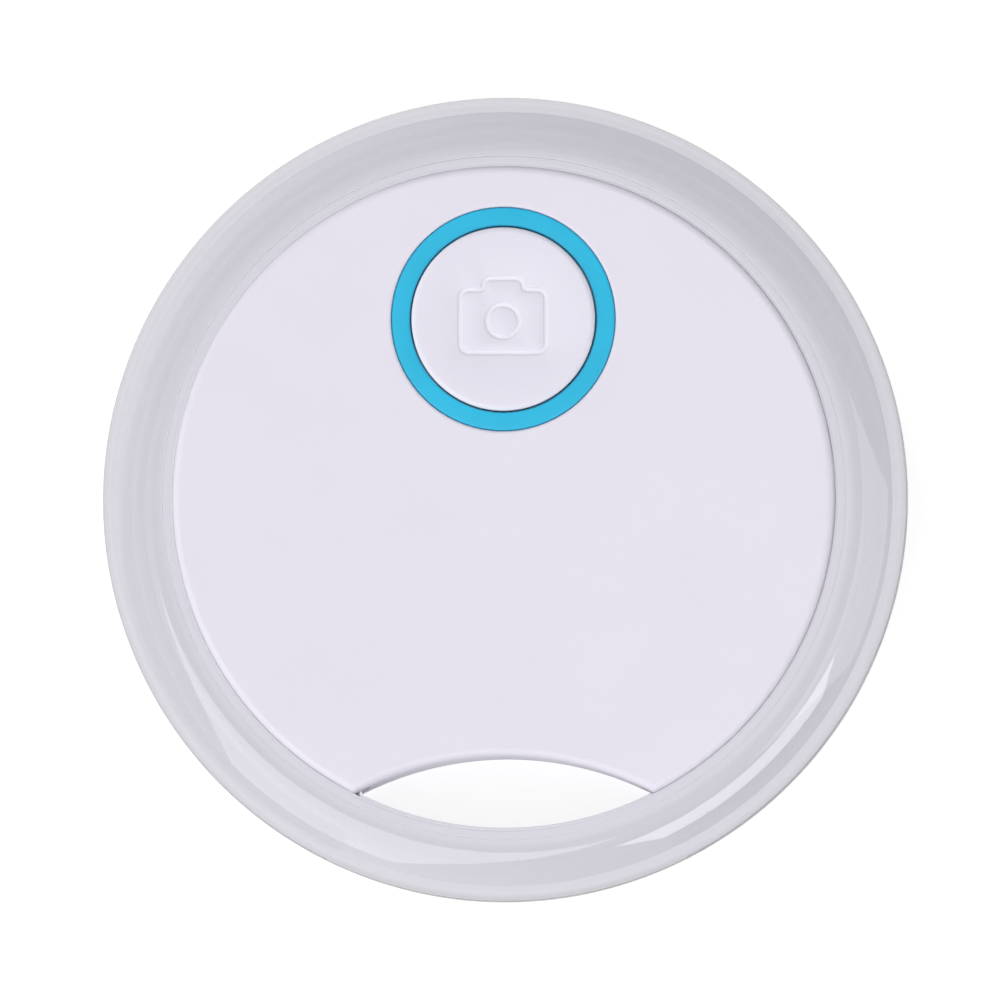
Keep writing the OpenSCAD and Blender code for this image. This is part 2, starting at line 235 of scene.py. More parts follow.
def ring_section():
    """Outline of the ring's cross-section, radius and height in metres."""
    low, high = ring_low.z, ring_high.z
    tongue_soft = 0.12 * MM
    step_soft = 0.07 * MM
    return [
        *arc(tongue_r + tongue_soft, equator - tongue_half + tongue_soft, tongue_soft, 180, 270, 4),
        (bore_r, equator - tongue_half),
        *arc(bore_r + lip_r, low + lip_r, lip_r, 180, 270, 10),
        *arc(ring_r - round_r, low + round_r, round_r, -90, 0, 40),
        *arc(ring_r - round_r, high - round_r, round_r, 0, 90, 40),
        *arc(step_r + step_soft, high - step_soft, step_soft, 90, 180, 6),
        (step_r, high - step_deep),
        *arc(bore_r + lip_r, high - step_deep - lip_r, lip_r, 90, 180, 10),
        (bore_r, equator + tongue_half),
        *arc(tongue_r + tongue_soft, equator + tongue_half - tongue_soft, tongue_soft, 90, 180, 4),
    ]


def clear_plastic():
    """Clear plastic with painted light at its thin inner lip and painted shade towards its outer edge."""
    finish = Finish(
        "clear_polycarbonate", 0.05,
        Transmission_Weight=1.0, IOR=1.5, Coat_Weight=1.0, Coat_Roughness=0.03)
    from_axis = finish.node("ShaderNodeVectorMath", operation="MULTIPLY")
    from_axis.inputs[1].default_value = (1, 1, 0)
    radius = finish.node("ShaderNodeVectorMath", operation="LENGTH")
    finish.tree.links.new(finish.place, from_axis.inputs[0])
    finish.tree.links.new(from_axis.outputs["Vector"], radius.inputs[0])
    # Painted light and shade: the base colour runs from pale at the inner lip to dark at the outer edge,
    # standing in for the light and shade refracted there. The coat also fades out towards the outer rim.
    depth = finish.node("ShaderNodeValToRGB")
    stops = depth.color_ramp.elements
    painted_light_and_shade_by_radius = ((17.1, 0.81), (17.4, 0.72), (19.2, 0.72), (19.6, 0.61), (19.85, 0.36))
    for r, tone in painted_light_and_shade_by_radius:
        stop = stops.new((r * MM - bore_r) / (ring_r - bore_r))
        stop.color = (tone, 0.98 * tone, 1.07 * tone, 1)
    stops.remove(stops[0])
    stops.remove(stops[-1])
    across_ring = finish.ramp(radius.outputs["Value"], 0, 1, bore_r, ring_r)
    finish.tree.links.new(across_ring, depth.inputs["Fac"])
    finish.tree.links.new(depth.outputs["Color"], finish.shader.inputs["Base Color"])
    rim = finish.ramp(radius.outputs["Value"], 1, 0, ring_r - 0.4 * MM, ring_r - 0.1 * MM)
    finish.tree.links.new(rim, finish.shader.inputs["Coat Weight"])
    flow = finish.noise(1.6 * MM, detail=1.0)
    finish.rough(flow, 0.03, 0.08)
    finish.bump(flow, 0.004 * MM)
    return finish.material


ring_tree, ring_in, ring_ids = new_tree(
    "ring_sweep", ("Sweep radius", "NodeSocketFloat"), ("Steps round", "NodeSocketInt"),
    ("Material", "NodeSocketMaterial"))
section_curve = ring_tree.nodes.new("GeometryNodeMeshToCurve")
ring_path = ring_tree.nodes.new("GeometryNodeCurvePrimitiveCircle")
ring_sweep = ring_tree.nodes.new("GeometryNodeCurveToMesh")
ring_tree.links.new(ring_in.outputs["Geometry"], section_curve.inputs["Mesh"])
ring_tree.links.new(ring_in.outputs["Sweep radius"], ring_path.inputs["Radius"])
ring_tree.links.new(ring_in.outputs["Steps round"], ring_path.inputs["Resolution"])
ring_tree.links.new(ring_path.outputs["Curve"], ring_sweep.inputs["Curve"])
ring_tree.links.new(section_curve.outputs["Curve"], ring_sweep.inputs["Profile Curve"])
end_tree(ring_tree, ring_sweep.outputs["Mesh"], ring_in.outputs["Material"])

# A swept profile lies with its X outwards and its Y down
section = ring_section()
section_mesh = bpy.data.meshes.new("ring_section")
section_mesh.from_pydata(
    [(r - bore_r, -z, 0) for r, z in section],
    [(i, (i + 1) % len(section)) for i in range(len(section))], [])
clear_ring = grow(link("clear_outer_ring", section_mesh), ring_tree, ring_ids, **{
    "Sweep radius": bore_r, "Steps round": ring_steps, "Material": clear_plastic()})
for v in clear_ring.data.vertices:
    r = hypot(v.co.x, v.co.y)
    in_bite = (Vector((v.co.x, v.co.y, 0)) - bite_centre).length < bite_r
    if in_bite and r < eye_edge_r:
        grown = (r + eye_edge_r - tongue_r) / r
        v.co.x *= grown
        v.co.y *= grown
smooth(turn_outwards(clear_ring), 40)
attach(clear_ring, "case")
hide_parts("clear_ring")


# ---- Case halves -----------------------------------------------------------------------------------
# Two shells of cool-white ABS, moulded in a spark-eroded tool that leaves a fine matte grain, and
# screwed together from the back. Each has a round bite in its edge, with softened rims.

case_white = (0.724, 0.698, 0.789)


def as_moulded(node, name):
    """A watertight copy of a CAD part with even shading over its rounded edges."""
    piece = link(name, nodes[node].data.copy())
    piece.data.materials.clear()
    if piece.data.has_custom_normals:
        piece.data.attributes.remove(piece.data.attributes["custom_normal"])
    shell = bmesh.new()
    shell.from_mesh(piece.data)
    bmesh.ops.remove_doubles(shell, verts=shell.verts, dist=1e-7)
    shell.to_mesh(piece.data)
    shell.free()
    smooth(piece, 28)
    weighted = piece.modifiers.new("even_shading", "WEIGHTED_NORMAL")
    weighted.keep_sharp = True
    weighted.weight = 100
    return applied(piece)


def matte_white(name, colour, roughness=0.5, grain=0.13 * MM):
    """White ABS with a slow drift of tone, a fine spark-eroded grain and a faint waviness."""
    finish = Finish(name, roughness)
    drift = finish.noise(5 * MM, detail=3.0)
    dim = tuple(0.985 * c for c in colour)
    finish.colour(finish.ramp(drift, 0, 1, 0.35, 0.65), colour, dim)
    spark = finish.noise(grain, detail=3.0, roughness=0.6)
    finish.rough(spark, roughness - 0.06, roughness + 0.06)
    finish.bump(spark, 0.004 * MM)
    finish.bump(finish.noise(0.9 * MM, detail=1.0), 0.0015 * MM)
    return finish.material


case_finish = matte_white("case_white", case_white)
front_shell = as_moulded("front_shell", "front_case_half")
front_shell.data.materials.append(case_finish)
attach(front_shell, "case")
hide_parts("front_shell")

rear_shell = as_moulded("rear_shell", "rear_case_half")
rear_shell.data.materials.append(case_finish)
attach(rear_shell, "case")
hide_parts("rear_shell")


# ---- Button bezel ----------------------------------------------------------------------------------
# A cyan ring, moulded through in satin ABS, dropped in from behind and held by its skirt under the
# face. Its bore guides the button.

cyan = (0.021, 0.465, 0.714)


def satin_cyan():
    """Cyan ABS, smoother than the case and with a finer grain."""
    finish = Finish("cyan_satin", 0.34)
    flow = finish.noise(2.2 * MM, detail=2.0)
    finish.colour(finish.ramp(flow, 0, 1, 0.35, 0.65), cyan, tuple(0.95 * c for c in cyan))
    fine = finish.noise(0.09 * MM, detail=2.0)
    finish.rough(fine, 0.3, 0.4)
    finish.bump(fine, 0.0015 * MM)
    return finish.material


bezel = as_moulded("button_bezel", "cyan_bezel")
bezel.data.materials.append(satin_cyan())
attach(bezel, "case")
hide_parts("button_bezel")


# ---- Push button -----------------------------------------------------------------------------------
# A cap of white ABS that slides in the bezel, kept in by its flange. The sign on its top is a plain
# camera, moulded as a shallow groove. A nub underneath rests on the switch.

button_low, button_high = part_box("button_cap")
button_middle = (button_low + button_high) / 2
button_white = (0.729, 0.708, 0.802)
# Painted highlight colour for the sign's groove
groove_highlight_white = (0.80, 0.79, 0.86)
cap_r = 4.54 * MM
cap_flange_r = button_high.x - button_middle.x
cap_flange_top = 6.9 * MM
cap_soft = 0.25 * MM
cap_steps = 192
hollow_r = 3.7 * MM
cap_t = 0.9 * MM
hollow_top = button_high.z - cap_t
nub_r = 1 * MM
nub_low = 6.57 * MM
nub_edge = 0.1 * MM
groove_half = 0.17 * MM
groove_deep = 0.12 * MM
groove_side = 0.8
cap_edge = 0.05 * MM
sign_centre = Vector((0, button_middle.y - 0.12 * MM, 0))


def spun(shell, profile, centre, steps):
    """Spins a profile of (radius, height) about a vertical axis; returns the vertex rings."""
    rings = []
    for r, z in profile:
        turns = [2 * pi * i / steps for i in range(steps)]
        rings.append([shell.verts.new((centre.x + r * cos(a), centre.y + r * sin(a), z)) for a in turns])
    for below, above in zip(rings, rings[1:]):
        for i in range(steps):
            j = (i + 1) % steps
            shell.faces.new((below[i], below[j], above[j], above[i]))
    return rings


def loop_edges(shell, ring):
    """The edges of a closed ring of vertices, made where they are missing."""
    ends = zip(ring, ring[1:] + ring[:1])
    return [shell.edges.get((a, b)) or shell.edges.new((a, b)) for a, b in ends]


def filled(shell, *rings):
    """Fills the flat area between closed rings of vertices."""
    edges = [e for ring in rings for e in loop_edges(shell, ring)]
    bmesh.ops.triangle_fill(shell, use_beauty=True, use_dissolve=False, edges=edges)


def rounded_outline(corners, grow_by, steps=8):
    """Points round a closed outline of straight runs and rounded corners, grown outwards.

    corners are (x, y, radius), anticlockwise. Every grown copy has the same number of points."""
    points = []
    count = len(corners)
    for i, (x, y, r) in enumerate(corners):
        here = Vector((x, y))
        back = (Vector(corners[i - 1][:2]) - here).normalized()
        ahead = (Vector(corners[(i + 1) % count][:2]) - here).normalized()
        turn = 1 if back.x * ahead.y - back.y * ahead.x < 0 else -1
        half = back.angle(ahead) / 2
        centre = here + (back + ahead).normalized() * (r / sin(half))
        start = (here + back * (r / tan(half)) - centre).normalized()
        end = (here + ahead * (r / tan(half)) - centre).normalized()
        sweep = start.angle(end) * turn
        radius = r + grow_by * turn
        for k in range(steps + 1):
            a = sweep * k / steps
            ray = Vector((start.x * cos(a) - start.y * sin(a), start.x * sin(a) + start.y * cos(a)))
            points.append(centre + ray * radius)
    return points


def camera_sign(grow_by):
    """A camera's body with a low hump, its size along the middle of the groove."""
    wide, tall, low_hump, hump_top = 2.125 * MM, 1.55 * MM, 1.03 * MM, 0.9 * MM
    corners = [
        (wide, -tall, 0.45 * MM), (wide, tall, 0.45 * MM), (low_hump, tall, 0.2 * MM),
        (hump_top, tall + 0.56 * MM, 0.33 * MM), (-hump_top, tall + 0.56 * MM, 0.33 * MM),
        (-low_hump, tall, 0.2 * MM), (-wide, tall, 0.45 * MM), (-wide, -tall, 0.45 * MM),
    ]
    return rounded_outline(corners, grow_by)


def lens_sign(grow_by):
    """The camera's lens, a plain circle."""
    r = 0.8 * MM + grow_by
    turns = [2 * pi * i / 64 for i in range(64)]
    return [Vector((r * cos(a), r * sin(a))) for a in turns]


def groove(shell, outline, top):
    """A flat-bottomed groove with rounded sides along an outline; returns its outer and inner rims."""
    steps = 8
    rings = []
    for k in range(-steps, steps + 1):
        across = -k / steps
        depth = groove_deep * min(1, groove_side + groove_side * cos(pi * across))
        points = [sign_centre + p.to_3d() for p in outline(across * groove_half)]
        rings.append([shell.verts.new((p.x, p.y, top - depth)) for p in points])
    for outer, inner in zip(rings, rings[1:]):
        for i in range(len(outer)):
            j = (i + 1) % len(outer)
            shell.faces.new((outer[i], outer[j], inner[j], inner[i]))
    return rings[0], rings[-1]


def button_cap():
    """The cap as one closed shell: nub, hollow, skirt with its flange, and the top with its sign."""
    shell = bmesh.new()
    top = button_high.z
    nub = [(nub_r, hollow_top), (nub_r, nub_low + nub_edge), (nub_r - nub_edge, nub_low)]
    skirt = [
        (nub_r, hollow_top), (hollow_r, hollow_top), (hollow_r, button_low.z),
        (cap_flange_r - cap_edge, button_low.z), (cap_flange_r, button_low.z + cap_edge),
        (cap_flange_r, cap_flange_top), (cap_r, cap_flange_top),
        *arc(cap_r - cap_soft, top - cap_soft, cap_soft, 0, 90, 12),
        (cap_r - cap_soft - cap_edge, top),
    ]
    nub_rings = spun(shell, nub, button_middle, cap_steps)
    cap_rings = spun(shell, skirt, button_middle, cap_steps)
    shell.faces.new(nub_rings[-1])
    body_outer, body_inner = groove(shell, camera_sign, top)
    lens_outer, lens_inner = groove(shell, lens_sign, top)
    filled(shell, cap_rings[-1], body_outer)
    filled(shell, body_inner, lens_outer)
    shell.faces.new(lens_inner)
    bmesh.ops.remove_doubles(shell, verts=shell.verts, dist=1e-7)
    bmesh.ops.recalc_face_normals(shell, faces=shell.faces)
    mesh = bpy.data.meshes.new("push_button")
    shell.to_mesh(mesh)
    shell.free()
    return mesh


def button_finish():
    """Matte white with a painted highlight: the colour turns lighter below the top face, in the sign's
    groove and down the cap's rounded edge.
    """
    material = matte_white("button_white", button_white, roughness=0.42, grain=0.1 * MM)
    tree = material.node_tree
    shader = tree.nodes["Principled BSDF"]
    place = tree.nodes.new("ShaderNodeTexCoord")
    height = tree.nodes.new("ShaderNodeSeparateXYZ")
    painted_highlight_mask = tree.nodes.new("ShaderNodeMapRange")
    painted_highlight_mask.inputs["From Min"].default_value = button_high.z - 0.02 * MM
    painted_highlight_mask.inputs["From Max"].default_value = button_high.z - 0.08 * MM
    # Painted highlight: below the top face, the base colour is mixed into a lighter white. This covers the
    # sign's groove and also the cap's rounded edge and sides.
    lighter = tree.nodes.new("ShaderNodeMix")
    lighter.data_type = "RGBA"
    lighter.inputs["B"].default_value = (*groove_highlight_white, 1)
    base = shader.inputs["Base Color"].links[0].from_socket
    tree.links.new(place.outputs["Object"], height.inputs["Vector"])
    tree.links.new(height.outputs["Z"], painted_highlight_mask.inputs["Value"])
    tree.links.new(painted_highlight_mask.outputs["Result"], lighter.inputs["Factor"])
    tree.links.new(base, lighter.inputs["A"])
    tree.links.new(lighter.outputs["Result"], shader.inputs["Base Color"])
    return material


button = smooth(link("push_button", button_cap()), 40)
button.data.materials.append(button_finish())
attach(button, "button")
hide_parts("button_cap")


# ---- Battery door ----------------------------------------------------------------------------------
# A round door in the same white ABS, turned with a coin. Three lugs catch behind the rear half's
# ledge, and a rubber ring under its flange keeps water out.

door = as_moulded("battery_door", "coin_slot_door")
door.data.materials.append(matte_white("door_white", tuple(0.975 * c for c in case_white)))
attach(door, "door")
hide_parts("battery_door")


# ---- Door seal -------------------------------------------------------------------------------------
# An O-ring of black silicone rubber, pressed into the groove on top of the door's flange. It turns
# with the door and seals against the rear half's ledge.

seal_low, seal_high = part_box("door_seal")
seal_middle = (seal_low + seal_high) / 2
cord_r = (seal_high.z - seal_low.z) / 2
cord_half_w = 0.17 * MM
seal_r = seal_high.x - cord_half_w
seal_steps = 192
cord_steps = 20


def rubber():
    """Black silicone rubber with a little dust in its matte skin."""
    finish = Finish("silicone_rubber", 0.6, Specular_IOR_Level=0.35)
    dust = finish.noise(0.6 * MM, detail=4.0)
    finish.colour(finish.ramp(dust, 0, 1, 0.4, 0.7), (0.018, 0.018, 0.02), (0.03, 0.03, 0.033))
    finish.rough(dust, 0.52, 0.68)
    finish.bump(finish.noise(0.08 * MM, detail=2.0), 0.003 * MM)
    return finish.material


cord_mesh = bpy.data.meshes.new("cord_section")
cord_mesh.from_pydata(
    [(cord_half_w * cos(2 * pi * i / cord_steps), cord_r * sin(2 * pi * i / cord_steps), 0)
     for i in range(cord_steps)],
    [(i, (i + 1) % cord_steps) for i in range(cord_steps)], [])
seal = grow(link("rubber_door_seal", cord_mesh), ring_tree, ring_ids, **{
    "Sweep radius": seal_r, "Steps round": seal_steps, "Material": rubber()})
seal.data.transform(Matrix.Translation(seal_middle))
smooth(turn_outwards(seal), 60)
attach(seal, "door")
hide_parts("door_seal")


# ---- Case screws -----------------------------------------------------------------------------------
# Four small pan-head thread-forming screws of nickel-plated steel. They go in from the back, deep
# below the surface, and pull the front half's bosses down on the ring's tongue.

screw_steps = 32
recess_deep = 0.35 * MM
recess_arm = 0.62 * MM
recess_half = 0.15 * MM
recess_taper = 0.8
thread_pitch = 0.4 * MM
thread_deep = 0.13 * MM
thread_run_out = 1.5 * thread_pitch
tip_share = 0.6
rows_a_turn = 10
first_stop = 0.4
stop_step = 0.7


def solids_of(node):
    """Lowest and highest corner of each separate solid in a CAD node."""
    shell = bmesh.new()
    shell.from_mesh(nodes[node].data)
    bmesh.ops.remove_doubles(shell, verts=shell.verts, dist=1e-7)
    todo = set(shell.verts)
    found = []
    while todo:
        edge_of_search = [todo.pop()]
        solid = []
        while edge_of_search:
            v = edge_of_search.pop()
            solid.append(v.co.copy())
            near = {e.other_vert(v) for e in v.link_edges} & todo
            todo -= near
            edge_of_search.extend(near)
        found.append(tuple(Vector([pick(p[i] for p in solid) for i in range(3)]) for pick in (min, max)))
    shell.free()
    return sorted(found, key=lambda corners: tuple(round(c, 6) for c in corners[0]))


copies_tree, copies_in, copies_ids = new_tree(
    "copies_at_points", ("Part", "NodeSocketObject"), ("Scale", "NodeSocketFloat"),
    ("Material", "NodeSocketMaterial"))
part_info = copies_tree.nodes.new("GeometryNodeObjectInfo")
turn_name = copies_tree.nodes.new("GeometryNodeInputNamedAttribute")
turn_name.data_type = "FLOAT"
turn_name.inputs["Name"].default_value = "turn"
turn_z = copies_tree.nodes.new("ShaderNodeCombineXYZ")
place_copies = copies_tree.nodes.new("GeometryNodeInstanceOnPoints")
copies_tree.links.new(copies_in.outputs["Part"], part_info.inputs["Object"])
copies_tree.links.new(turn_name.outputs["Attribute"], turn_z.inputs["Z"])
copies_tree.links.new(copies_in.outputs["Geometry"], place_copies.inputs["Points"])
copies_tree.links.new(part_info.outputs["Geometry"], place_copies.inputs["Instance"])
copies_tree.links.new(turn_z.outputs["Vector"], place_copies.inputs["Rotation"])
copies_tree.links.new(copies_in.outputs["Scale"], place_copies.inputs["Scale"])
end_tree(copies_tree, place_copies.outputs["Instances"], copies_in.outputs["Material"])


def copies(name, part, places, material):
    """One piece on the case, made of a copy of the part at each place, (x, y, z, turn about Z)."""
    mesh = bpy.data.meshes.new(name)
    mesh.from_pydata([place[:3] for place in places], [], [])
    turn = mesh.attributes.new("turn", "FLOAT", "POINT")
    turn.data.foreach_set("value", [place[3] for place in places])
    piece = grow(link(name, mesh), copies_tree, copies_ids, **{
        "Part": part, "Scale": 1.0, "Material": material})
    bpy.data.objects.remove(part)
    smooth(turn_outwards(piece), 35)
    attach(piece, "case")
    return piece


def plated_steel(name, colour=(0.60, 0.585, 0.56), roughness=0.3):
    """Bright metal, a shade duller in its tarnished patches."""
    finish = Finish(name, roughness, Metallic=1.0)
    tarnish = finish.noise(1.1 * MM, detail=4.0)
    finish.colour(finish.ramp(tarnish, 0, 1, 0.35, 0.7), colour, tuple(0.86 * c for c in colour))
    finish.rough(tarnish, roughness - 0.07, roughness + 0.1)
    finish.bump(finish.noise(0.07 * MM, detail=2.0), 0.0012 * MM)
    return finish.material


def quarter_turned(points, turns):
    """Points turned about the origin by a number of quarter turns."""
    for _ in range(turns):
        points = [(-y, x) for x, y in points]
    return points


def one_screw(low, high):
    """A screw about the origin, its head down, as tall as the CAD screw."""
    shell = bmesh.new()
    tall = high.z - low.z
    head_r = (high.x - low.x) / 2
    head_h, pan_r, rim_edge, shank_r = 0.66 * MM, 0.3 * MM, 0.06 * MM, 0.6 * MM
    root_r = shank_r - thread_deep
    head = [
        (head_r - pan_r, 0), *arc(head_r - pan_r, pan_r, pan_r, -90, 0, 6)[1:],
        (head_r, head_h - rim_edge), (head_r - rim_edge, head_h), (root_r, head_h)]
    head_rings = spun(shell, head, Vector(), screw_steps)
    arm = [(recess_arm, -recess_half), (recess_arm, recess_half), (recess_half, recess_half)]
    cross = [point for turn in range(4) for point in quarter_turned(arm, turn)]
    rim = [shell.verts.new((x, y, 0)) for x, y in cross]
    sole = [shell.verts.new((recess_taper * x, recess_taper * y, recess_deep)) for x, y in cross]
    for i in range(len(cross)):
        j = (i + 1) % len(cross)
        shell.faces.new((rim[i], rim[j], sole[j], sole[i]))
    filled(shell, head_rings[0], rim)
    filled(shell, sole)
    rows = int((tall - head_h) / thread_pitch * rows_a_turn)
    rings = [head_rings[-1]]
    for row in range(1, rows + 1):
        z = head_h + (tall - head_h) * row / rows
        taper = min(1, (tall - z) / thread_run_out)
        ring = []
        for i in range(screw_steps):
            phase = ((z - head_h) / thread_pitch - i / screw_steps) % 1
            crest = max(0, 1 - abs(phase - 0.5) * 4)
            r = root_r * (tip_share + (1 - tip_share) * taper) + thread_deep * crest * taper
            turn = 2 * pi * i / screw_steps
            ring.append(shell.verts.new((r * cos(turn), r * sin(turn), z)))
        rings.append(ring)
    for below, above in zip(rings, rings[1:]):
        for i in range(screw_steps):
            j = (i + 1) % screw_steps
            shell.faces.new((below[i], below[j], above[j], above[i]))
    shell.faces.new(rings[-1])
    mesh = bpy.data.meshes.new("screw")
    shell.to_mesh(mesh)
    shell.free()
    return link("screw", mesh)


screw_boxes = solids_of("case_screws")
screw_places = [((low.x + high.x) / 2, (low.y + high.y) / 2, low.z, first_stop + stop_step * i)
                for i, (low, high) in enumerate(screw_boxes)]
screws = copies(
    "case_screws_threaded", one_screw(*screw_boxes[0]), screw_places, plated_steel("nickel_plate"))
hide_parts("case_screws")


# ---- Circuit board ---------------------------------------------------------------------------------
# A glass-epoxy board under green solder mask, clamped between the cell's well and the front half's
# posts. Tinned pads, copper traces and plated vias lie on its upper face.

board_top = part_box("circuit_board")[1].z
copper_t = 0.02 * MM
trace_w = 0.22 * MM
via_r = 0.2 * MM


def resurface(node, material):
    """Gives a CAD part its own finish."""
    for material_slot in nodes[node].material_slots:
        material_slot.material = material


def solder_mask():
    """Green lacquer over the weave of the glass-epoxy."""
    finish = Finish("green_solder_mask", 0.34, Coat_Weight=0.4, Coat_Roughness=0.2)
    weave = finish.noise(0.35 * MM, detail=2.0)
    finish.colour(finish.ramp(weave, 0, 1, 0.35, 0.65), (0.008, 0.105, 0.045), (0.014, 0.135, 0.06))
    finish.rough(weave, 0.28, 0.42)
    finish.bump(weave, 0.002 * MM)
    return finish.material


def covered_copper():
    """The mask's lighter green where it lies over copper."""
    finish = Finish("copper_under_mask", 0.3, Coat_Weight=0.4, Coat_Roughness=0.2)
    finish.colour(finish.noise(0.5 * MM), (0.03, 0.21, 0.09), (0.04, 0.26, 0.12))
    finish.bump(finish.noise(0.1 * MM), 0.0015 * MM)
    return finish.material


def block(name, size, soft):
    """A box with softened edges, standing on z = 0 about the origin."""
    shell = bmesh.new()
    bmesh.ops.create_cube(shell, size=1)
    bmesh.ops.scale(shell, vec=Vector(size), verts=shell.verts)
    bmesh.ops.bevel(shell, geom=shell.edges[:], offset=soft, segments=2, affect="EDGES", profile=0.6)
    bmesh.ops.translate(shell, vec=Vector((0, 0, size[2] / 2)), verts=shell.verts)
    mesh = bpy.data.meshes.new(name)
    shell.to_mesh(mesh)
    shell.free()
    return link(name, mesh)


resurface("circuit_board", solder_mask())

trace_tree, trace_in, trace_ids = new_tree(
    "flat_traces", ("Width", "NodeSocketFloat"), ("Thickness", "NodeSocketFloat"),
    ("Material", "NodeSocketMaterial"))
trace_line = trace_tree.nodes.new("GeometryNodeMeshToCurve")
trace_profile = trace_tree.nodes.new("GeometryNodeCurvePrimitiveQuadrilateral")
trace_sweep = trace_tree.nodes.new("GeometryNodeCurveToMesh")
trace_sweep.inputs["Fill Caps"].default_value = True
trace_tree.links.new(trace_in.outputs["Geometry"], trace_line.inputs["Mesh"])
trace_tree.links.new(trace_in.outputs["Width"], trace_profile.inputs["Width"])
trace_tree.links.new(trace_in.outputs["Thickness"], trace_profile.inputs["Height"])
trace_tree.links.new(trace_line.outputs["Curve"], trace_sweep.inputs["Curve"])
trace_tree.links.new(trace_profile.outputs["Curve"], trace_sweep.inputs["Profile Curve"])
end_tree(trace_tree, trace_sweep.outputs["Mesh"], trace_in.outputs["Material"])

chip_low, chip_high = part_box("bluetooth_chip")
antenna_low, antenna_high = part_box("chip_antenna")
switch_low, switch_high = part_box("switch_base")


def trace_routes():
    """Corner points of the traces, in millimetres on the board; the second list ends in vias."""
    left, below = chip_low.x / MM, chip_low.y / MM
    right, above = chip_high.x / MM, chip_high.y / MM
    leg_x = switch_low.x / MM - 0.35
    plain = [[(left - 0.6, y), (left, y)] for y in (-1.1, 0.1, 1.3)]
    plain += [[(x, below), (x, below - 1.1)] for x in (8.75, 10.25)]
    plain += [[(x, above), (x, above + 0.3), (x + step, above + 0.3 + abs(step)), (x + step, above + 0.9)]
              for x, step in ((7.75, -0.35), (8.25, 0.25), (9.75, -0.15), (10.75, -0.05))]
    plain += [[(-11.2, 2.0), (-10.4, 2.0)]]
    plain += [[(-3.9, y), (leg_x - 0.8, y), (leg_x - 0.3, y + step), (leg_x, y + step)]
              for y, step in ((7.8, -0.5), (9.8, 0.5))]
    plain += [[(5.4, -2.3), (4.6, -2.3), (3.9, -3.0), (2.6, -3.0)]]
    to_vias = [[(5.4, 1.2 * i - 1.1), (2.4 + 0.6 * i, 1.2 * i - 1.1), (1.6 + 0.6 * i, 1.2 * i - 0.3),
                (1.6 + 0.6 * i, 5.2)] for i in range(4)]
    to_vias += [[(7.4 + 1.1 * i, 4.6), (7.4 + 1.1 * i, 4.9 + 0.2 * i), (4.4 + 0.6 * i, 7.9 + 0.7 * i),
                 (4.4 + 0.6 * i, 10.4)] for i in range(4)]
    to_vias += [[(-4.9, 7.8 + i), (-5.9 - 0.2 * i, 7.8 + i), (-7.9 - 0.8 * i, 5.8 + 0.4 * i),
                 (-7.9 - 0.8 * i, 4.4)] for i in range(3)]
    to_vias += [[(-9.4, 0), (-8, 0), (-6.6, 1.4), (-1, 1.4)], [(right, -1.55), (right + 0.6, -1.55)]]
    to_vias += [[(right, i + 0.45), (right + 0.6, i + 0.45)] for i in (-1, 0, 1)]
    to_vias += [[(7.75, below), (7.75, -2.8), (7.05, -3.5), (7.05, -4.6)]]
    to_vias += [[(11.25, below), (11.25, -3.0), (12.0, -3.75), (12.0, -5.0)]]
    to_vias += [[(0, -7.9), (0, -7.4), (1.2, -6.2), (4.6, -6.2)]]
    return plain, to_vias


plain_routes, via_routes = trace_routes()
trace_points, trace_edges = [], []
for route in plain_routes + via_routes:
    start = len(trace_points)
    trace_points += [(x * MM, y * MM, board_top + copper_t / 2) for x, y in route]
    trace_edges += [(start + i, start + i + 1) for i in range(len(route) - 1)]
trace_mesh = bpy.data.meshes.new("board_traces")
trace_mesh.from_pydata(trace_points, trace_edges, [])
traces = grow(link("board_traces", trace_mesh), trace_tree, trace_ids, Width=trace_w, Thickness=copper_t,
              Material=covered_copper())
smooth(turn_outwards(traces), 30)
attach(traces, "case")

tin = plated_steel("tinned_copper", (0.66, 0.65, 0.62), roughness=0.25)
gold = plated_steel("gold_flash", (0.80, 0.60, 0.28), roughness=0.22)


def via():
    """A plated hole's ring of gold, a little proud of the copper."""
    shell = bmesh.new()
    steps = 16
    hole_r = 0.09 * MM
    flat = copper_t + 0.005 * MM
    rings = spun(shell, [(via_r, 0), (via_r, flat), (hole_r, flat), (hole_r, 0)], Vector(), steps)
    for i in range(steps):
        j = (i + 1) % steps
        shell.faces.new((rings[-1][i], rings[-1][j], rings[0][j], rings[0][i]))
    mesh = bpy.data.meshes.new("via")
    shell.to_mesh(mesh)
    shell.free()
    return link("via", mesh)


# Two groups stitch the ground planes together, and the others end a trace, all in millimetres
beyond_trace = 0.16
via_spots = [(side * (1.8 + 0.9 * i), -9.2 - 0.35 * (i % 2)) for side in (-1, 1) for i in range(4)]
for route in via_routes:
    (before_x, before_y), (end_x, end_y) = route[-2:]
    last_run = hypot(end_x - before_x, end_y - before_y)
    past_end = 1 + beyond_trace / last_run
    via_spots.append((before_x + (end_x - before_x) * past_end, before_y + (end_y - before_y) * past_end))
vias = copies("board_vias", via(), [(x * MM, y * MM, board_top, 0) for x, y in via_spots], gold)


# ---- Radio chip ------------------------------------------------------------------------------------
# One flat leadless package holds the radio and its processor. It is moulded in black epoxy, with a
# dimple at its first pin, and is soldered down by the tinned pads along its four edges.

def moulded_epoxy():
    """Black epoxy, speckled by its filler."""
    finish = Finish("moulded_epoxy", 0.55)
    filler = finish.noise(0.06 * MM, detail=3.0)
    finish.colour(finish.ramp(filler, 0, 1, 0.3, 0.75), (0.014, 0.014, 0.015), (0.028, 0.028, 0.03))
    finish.rough(filler, 0.48, 0.62)
    finish.bump(filler, 0.002 * MM)
    return finish.material


